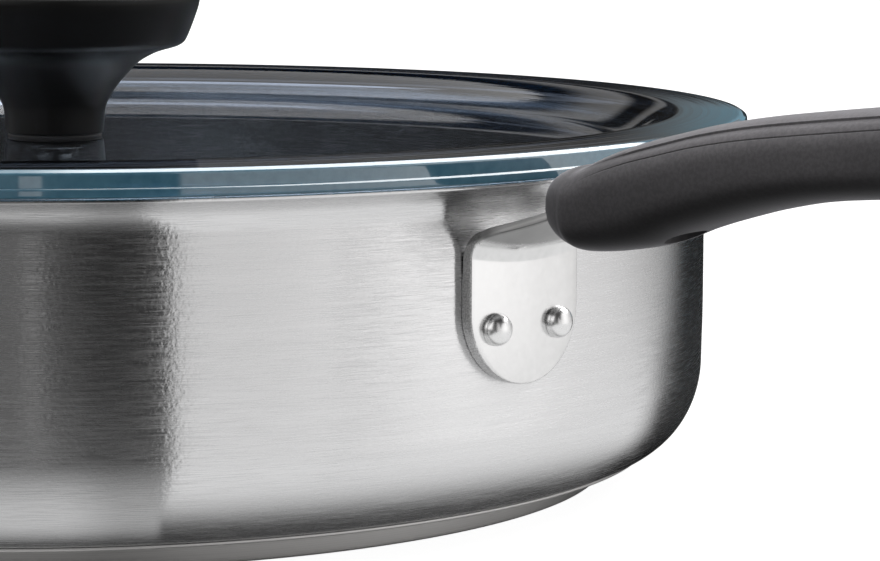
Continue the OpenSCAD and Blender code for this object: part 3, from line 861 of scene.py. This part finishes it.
# carried-over nodes get their finish
for nm, mt in (("base_core", M_ALU), ("handle_core", M_NYLON), ("handle_screw", M_SCREW), ("hanging_eye", M_NYLON), ("knob_insert", M_BRASS),
               ("knob_gasket", M_SILICONE), ("under_gasket", M_SILICONE), ("screw_washer", M_SCREW), ("knob_screw", M_SCREW)):
    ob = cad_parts[nm]
    if ob.material_slots:
        for s in ob.material_slots:
            s.material = mt
    else:
        ob.data.materials.append(mt)

# ---------------------------------------------------------------- stage and light
def plane(name, verts, mat):
    me = bpy.data.meshes.new(name)
    me.from_pydata(verts, [], [(0, 1, 2, 3)])
    ob = bpy.data.objects.new(name, me)
    bpy.context.collection.objects.link(ob)
    me.materials.append(mat)
    return ob


fm = bpy.data.materials.new("floor_pale")
fm.use_nodes = True
fb = fm.node_tree.nodes["Principled BSDF"]
fb.inputs["Base Color"].default_value = (0.2, 0.2, 0.2, 1)
fb.inputs["Roughness"].default_value = 0.9
fb.inputs["Emission Color"].default_value = (1, 1, 1, 1)
fb.inputs["Emission Strength"].default_value = 0.95
S = 14.0
floor = plane("floor", [(-S, -S, -0.0002), (S, -S, -0.0002), (S, S, -0.0002), (-S, S, -0.0002)], fm)
floor.visible_glossy = False
floor.visible_diffuse = False
floor.visible_transmission = False
floor.visible_shadow = False

CAM_AZ = -PHI   # the camera's azimuth in the row frame, in degrees


# The white table round the pan, as the steel mirrors it: darker close to the base, bright further out,
# and short in front, where the dark camera side begins. The camera sees the plain floor instead.
def ring_plane(name, r_in, r_out, z, mat, seg=96, rings=24):
    verts, faces = [], []
    for i in range(rings + 1):
        r = r_in + (r_out - r_in) * i / rings
        for k in range(seg):
            t = 2 * math.pi * k / seg
            verts.append((r * math.cos(t), r * math.sin(t), z))
    for i in range(rings):
        for k in range(seg):
            k2 = (k + 1) % seg
            faces.append((i * seg + k, (i + 1) * seg + k, (i + 1) * seg + k2, i * seg + k2))
    me = bpy.data.meshes.new(name)
    me.from_pydata(verts, [], faces)
    ob = bpy.data.objects.new(name, me)
    bpy.context.collection.objects.link(ob)
    me.materials.append(mat)
    return ob


tm = bpy.data.materials.new("table_glow")
tm.use_nodes = True
tn = tm.node_tree
tn.nodes.clear()
Sock.tree = tn
tgeo = tn.nodes.new("ShaderNodeTexCoord")
tsep = tn.nodes.new("ShaderNodeSeparateXYZ")
tn.links.new(tgeo.outputs["Object"], tsep.inputs[0])
tx, ty = Sock(tsep.outputs[0]) * 1000, Sock(tsep.outputs[1]) * 1000
cca, csa = math.cos(math.radians(CAM_AZ)), math.sin(math.radians(CAM_AZ))
tt, ts = tx * cca + ty * csa, ty * cca - tx * csa
tr = Sock.op("SQRT", tt * tt + ts * ts)
tp = Sock.op("ABSOLUTE", Sock.op("ARCTAN2", ts, tt) * (180 / math.pi))
ta = Sock.op("ARCTAN2", ts, tt) * (180 / math.pi)
p_front = 8.4 + 6.9 * (1.0 - Sock.op("EXPONENT", (130.0 - Sock.op("MAXIMUM", tr, 130.0)) / 90))
front = smooth(tp - p_front, 0.5, -0.5)
near = 0.05 + 0.52 * (smooth(tr, 122, 138) * (1.0 - front) + 1.25 * smooth(tr, 117, 129) * front) + 0.36 * smooth(tr, 128, 150) * (1.0 - front)
back_edge = 63.0 + 3.6 * Sock.op("SQRT", Sock.op("MAXIMUM", tr - 130, 0.0))
behind = (tp - back_edge) / 8
glow = near * (1.0 - 0.88 * front * smooth(tr, 130, 205)) * (1.0 - 0.3 * front * smooth(ta, 0, 6)) * (1.0 - 0.97 * smooth(behind, -1, 0.3))
te = tn.nodes.new("ShaderNodeEmission")
tn.links.new(glow.v, te.inputs["Strength"])
to = tn.nodes.new("ShaderNodeOutputMaterial")
tn.links.new(te.outputs[0], to.inputs["Surface"])
table = ring_plane("table_glow", 0.02, 0.34, -0.0001, tm)
table.visible_camera = False
table.visible_diffuse = False
table.visible_transmission = False
table.visible_shadow = False

world = bpy.data.worlds.new("studio")
world.use_nodes = True
wn = world.node_tree
wn.nodes.clear()
Sock.tree = wn
wtc = wn.nodes.new("ShaderNodeTexCoord")
wsep = wn.nodes.new("ShaderNodeSeparateXYZ")
wn.links.new(wtc.outputs["Generated"], wsep.inputs[0])
dx, dy, dz = (Sock(wsep.outputs[i]) for i in range(3))
ca, sa = math.cos(math.radians(CAM_AZ)), math.sin(math.radians(CAM_AZ))
toward = dx * ca + dy * sa          # along the floor to the camera
side = dy * ca - dx * sa            # to the image's right
az = Sock.op("ARCTAN2", side, toward) * (180 / math.pi)
el = Sock.op("ARCSINE", dz) * (180 / math.pi)
# the softbox on the right: a vertical-edged panel, strongest in the middle
low = smooth(el, -30, -22)
right_box = (0.74 + 0.62 * hump(az, 71, 23)) * smooth(az, 18.2, 19.6) * (1.0 - 0.4 * smooth(az, 105, 130)) * smooth(az, 142, 128)
right_box = right_box * smooth(el, 52, 36) * low
# a faint spill at the camera's left, and the higher, stronger softbox beyond it
left_box = 0.15 * smooth(az, 9, -14) * smooth(az, -22, -20) * smooth(el, 52, 36) * low
left_box = left_box + (1.15 + 0.45 * hump(az, -75, 30)) * smooth(az, -20, -24) * smooth(az, -142, -132) * smooth(el, -6, 16) * smooth(el, 62, 50)
# narrow gap of light between the camera and its flag
slit = 0.8 * smooth(az, -5.8, -5.2) * smooth(az, -1.7, -2.3) * smooth(el, -8.5, -7.5) * smooth(el, -2.5, -3.5)
# overhead panel, placed on a ceiling: u to the right, v away from the camera
dzp = Sock.op("MAXIMUM", dz, 0.02)
u, v = side / dzp, (0.0 - toward) / dzp
v_end = 0.62 + 1.4 * Sock.op("MINIMUM", Sock.op("ABSOLUTE", u), 0.55)
top_box = (1.5 + 3.5 * smooth(u, -0.05, 0.05)) * smooth(u, -0.65, -0.5) * smooth(u, 1.85, 1.6) * smooth(v, 0.0, 0.06) * smooth(v - v_end, 0.08, -0.08) * smooth(el, 20, 24)
# the pale backdrop that begins a little above the horizon, and a blue-green card before it on the right
aza = Sock.op("ABSOLUTE", az)
backdrop = 0.2 * smooth(aza, 148, 156) * smooth(el, 6.8, 8.6) * smooth(el, 12.5, 9.5)
card = smooth(az, 171.5, 168.0) * smooth(az, 120, 140) * smooth(el, 2.6, 4.0) * smooth(el, 8.5, 6.5)
sides = Sock.op("MAXIMUM", Sock.op("MAXIMUM", right_box, left_box), backdrop)
# a strip light behind the set
strip = 0.4 * smooth(aza, 150, 168) * smooth(el, 16, 20) * smooth(el, 32, 25)
level = Sock.op("MAXIMUM", Sock.op("MAXIMUM", sides, slit), Sock.op("MAXIMUM", top_box, strip)) + 0.38 * card + 0.015
hue = wn.nodes.new("ShaderNodeMix")
hue.data_type = "RGBA"
hue.inputs["A"].default_value = (1.0, 0.99, 0.985, 1)
hue.inputs["B"].default_value = (0.42, 0.74, 0.92, 1)
wn.links.new(card.v, hue.inputs["Factor"])
b1 = wn.nodes.new("ShaderNodeBackground")
wn.links.new(hue.outputs["Result"], b1.inputs["Color"])
wn.links.new(level.v, b1.inputs["Strength"])
b2 = wn.nodes.new("ShaderNodeBackground")
b2.inputs["Color"].default_value = (1.0, 1.0, 1.0, 1)
lp = wn.nodes.new("ShaderNodeLightPath")
mx = wn.nodes.new("ShaderNodeMixShader")
wo = wn.nodes.new("ShaderNodeOutputWorld")
wn.links.new(lp.outputs["Is Camera Ray"], mx.inputs[0])
wn.links.new(b1.outputs[0], mx.inputs[1])
wn.links.new(b2.outputs[0], mx.inputs[2])
wn.links.new(mx.outputs[0], wo.inputs["Surface"])
bpy.context.scene.world = world
world.cycles.sampling_method = "MANUAL"
world.cycles.sample_map_resolution = 1024
